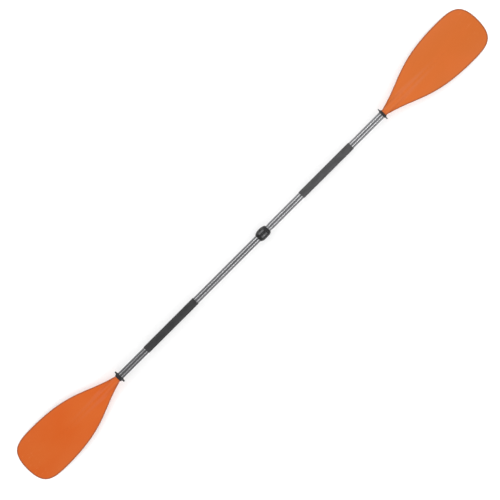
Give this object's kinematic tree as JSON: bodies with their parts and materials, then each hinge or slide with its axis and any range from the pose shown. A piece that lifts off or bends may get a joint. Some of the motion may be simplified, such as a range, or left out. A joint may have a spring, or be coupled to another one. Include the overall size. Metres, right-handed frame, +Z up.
{
  "type": "kayak paddle",
  "caption": "Double-bladed kayak paddle that comes apart in the middle: moulded blades, rubber drip rings and grips, telescoping aluminium shaft and a cam-lever lock.",
  "frame": {"origin": "on the floor below the shaft's axis, half way between the two blade tips, with the paddle lying on the tips of its blades, power faces down", "axes": "+X along the shaft towards the half that slides out, +Z up, away from the blades' power faces, +Y across the blades"},
  "size_m": [2.206, 0.182, 0.0544],
  "materials": {
    "blade_plastic": "satin",
    "shaft_aluminium": "satin",
    "insert_aluminium": "satin",
    "grip_rubber": "matte",
    "ring_rubber": "matte",
    "bung_foam": "matte",
    "plain_steel": "satin",
    "rivet_aluminium": "satin",
    "plug_plastic": "satin",
    "lock_plastic": "satin",
    "lever_plastic": "satin"
  },
  "bodies": {
    "left_half": {"left_blade": "blade_plastic", "left_shaft": "shaft_aluminium", "left_blade_pin": "plain_steel", "left_bung": "bung_foam", "left_grip": "grip_rubber", "lock_collar": "lock_plastic", "lever_pin": "plain_steel", "cam_plate": "plain_steel", "screw_washer": "plain_steel"},
    "left_ring": {"left_drip_ring": "ring_rubber"},
    "lever": {"cam_lever": "lever_plastic"},
    "screw": {"tension_screw": "plain_steel"},
    "insert_guide": {"guide_plug": "plug_plastic"},
    "right_half": {"right_blade": "blade_plastic", "right_shaft": "shaft_aluminium", "right_blade_pin": "plain_steel", "right_bung": "bung_foam", "right_grip": "grip_rubber", "insert_tube": "insert_aluminium", "insert_rivets": "rivet_aluminium"},
    "right_ring": {"right_drip_ring": "ring_rubber"}
  },
  "joints": [
    {"name": "length_slide", "type": "slide", "parent": "left_half", "child": "insert_guide", "axis": [1, 0, 0], "range_m": [-0.01, 0.165]},
    {"name": "feather_twist", "type": "hinge", "parent": "insert_guide", "child": "right_half", "pos_m": [0.0955, 0, 0.03078], "axis": [1, 0, 0], "continuous": true},
    {"name": "lever_hinge", "type": "hinge", "parent": "left_half", "child": "lever", "pos_m": [0.0602, -0.0078, 0.04798], "axis": [-1, 0, 0], "range_deg": [0, 115]},
    {"name": "screw_turn", "type": "hinge", "parent": "left_half", "child": "screw", "pos_m": [0.0602, 0, 0.04798], "axis": [0, 1, 0], "continuous": true},
    {"name": "left_ring_slide", "type": "slide", "parent": "left_half", "child": "left_ring", "axis": [1, 0, 0], "range_m": [0, 0.12]},
    {"name": "right_ring_slide", "type": "slide", "parent": "right_half", "child": "right_ring", "axis": [-1, 0, 0], "range_m": [0, 0.12]}
  ]
}
